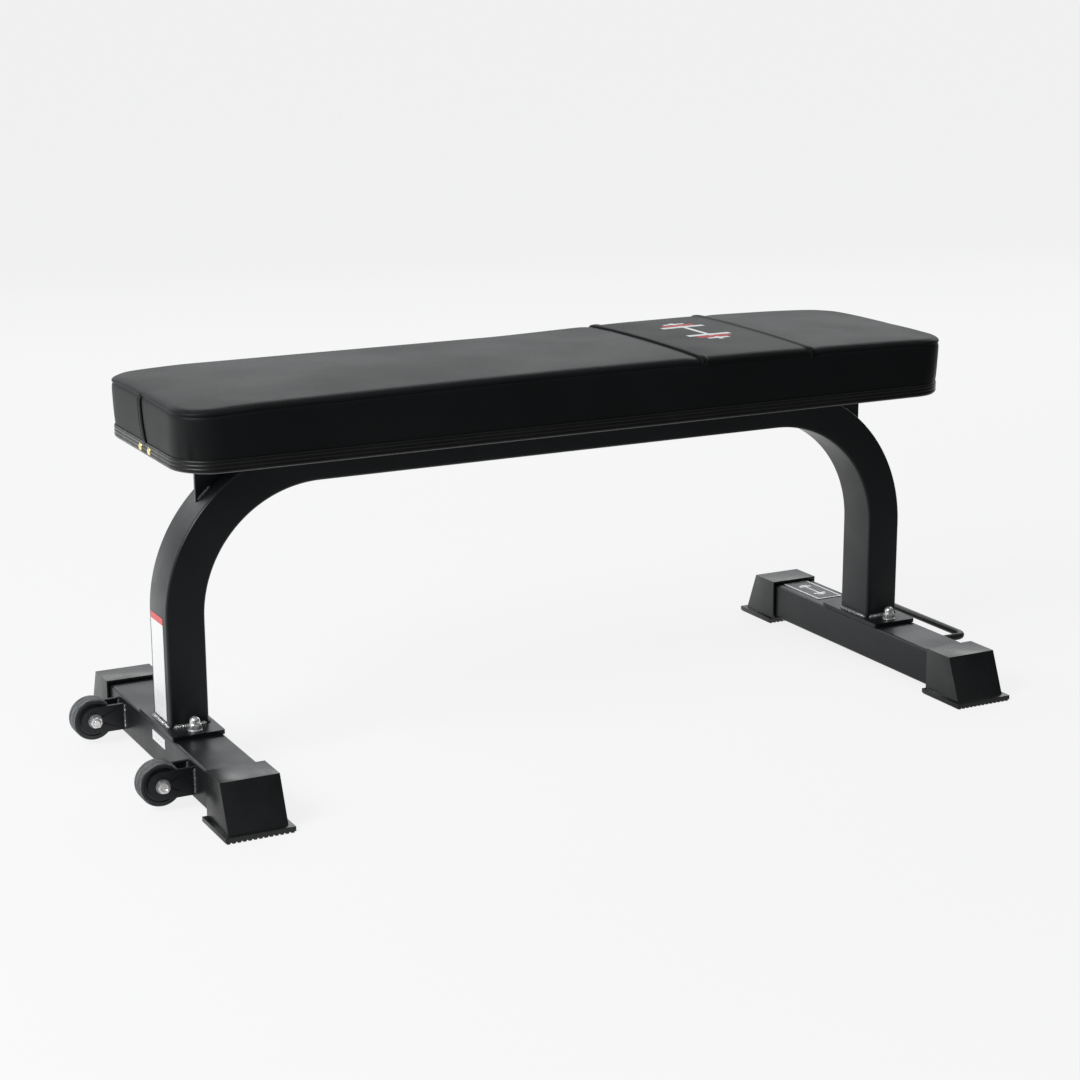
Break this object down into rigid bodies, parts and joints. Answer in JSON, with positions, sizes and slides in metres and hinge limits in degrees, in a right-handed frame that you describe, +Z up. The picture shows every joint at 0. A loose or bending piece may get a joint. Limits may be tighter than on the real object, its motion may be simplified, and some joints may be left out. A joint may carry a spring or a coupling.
{
  "type": "flat weight bench",
  "caption": "Flat weight bench: long padded top on a bent rectangular-tube frame, cross feet with rubber boots, transport wheels and a lift handle.",
  "frame": {"origin": "centre of the bounding box at floor level", "axes": "+X along the bench towards the lift handle, -X end has the wheels, Y across the bench, +Z up"},
  "size_m": [1.1188, 0.5, 0.4444],
  "materials": {
    "frame_paint": "satin black powder coat",
    "handle_paint": "satin black powder coat",
    "boot_rubber": "semi-gloss black",
    "wheel_plastic": "satin black",
    "tread_rubber": "grey rubber",
    "bush_steel": "turned steel",
    "bright_zinc": "bright zinc plate",
    "dull_zinc": "zinc plate",
    "plywood": "raw plywood",
    "foam": "open-cell foam",
    "pad_vinyl": "fine-grained black vinyl",
    "band_vinyl": "fine-grained black vinyl, sewn hems",
    "trim_strip": "ribbed black edge strip",
    "brass": "pale gold dome tacks",
    "backing_sheet": "pale cut edge, dark underside",
    "white_label": "blank white label with a red band",
    "plate_metal": "dark plate with a bright border"
  },
  "bodies": {
    "frame": {"main_tube": "frame_paint", "gusset_left": "frame_paint", "gusset_right": "frame_paint", "base_plate_left": "frame_paint", "base_plate_right": "frame_paint", "pad_flat_left": "frame_paint", "pad_flat_right": "frame_paint", "cross_tube_left": "frame_paint", "cross_tube_right": "frame_paint", "boot_left_near": "boot_rubber", "boot_left_far": "boot_rubber", "boot_right_near": "boot_rubber", "boot_right_far": "boot_rubber", "base_bolts": "dull_zinc", "base_bolt_washers": "dull_zinc", "dome_washers": "bright_zinc", "dome_nuts": "bright_zinc", "wheel_lug_near_outer": "frame_paint", "wheel_lug_near_inner": "frame_paint", "wheel_lug_far_inner": "frame_paint", "wheel_lug_far_outer": "frame_paint", "axle_bolt_near": "bright_zinc", "axle_bolt_far": "bright_zinc", "axle_washers": "bright_zinc", "axle_nuts": "bright_zinc", "lift_handle": "handle_paint", "pad_board": "plywood", "pad_foam": "foam", "pad_cover": "pad_vinyl", "sewn_band": "band_vinyl", "edge_trim": "trim_strip", "trim_tacks": "brass", "pad_backing": "backing_sheet", "tee_nuts": "dull_zinc", "pad_bolts": "dull_zinc", "pad_bolt_washers": "dull_zinc", "leg_label": "white_label", "foot_label": "white_label", "name_plate": "plate_metal"},
    "wheel_near": {"wheel_core_near": "wheel_plastic", "wheel_tyre_near": "tread_rubber", "wheel_bush_near": "bush_steel"},
    "wheel_far": {"wheel_core_far": "wheel_plastic", "wheel_tyre_far": "tread_rubber", "wheel_bush_far": "bush_steel"}
  },
  "joints": [
    {"name": "near_wheel_spin", "type": "hinge", "parent": "frame", "child": "wheel_near", "pos_m": [-0.53463, -0.1155, 0.031], "axis": [0, 1, 0], "continuous": true},
    {"name": "far_wheel_spin", "type": "hinge", "parent": "frame", "child": "wheel_far", "pos_m": [-0.53463, 0.133, 0.031], "axis": [0, 1, 0], "continuous": true}
  ]
}
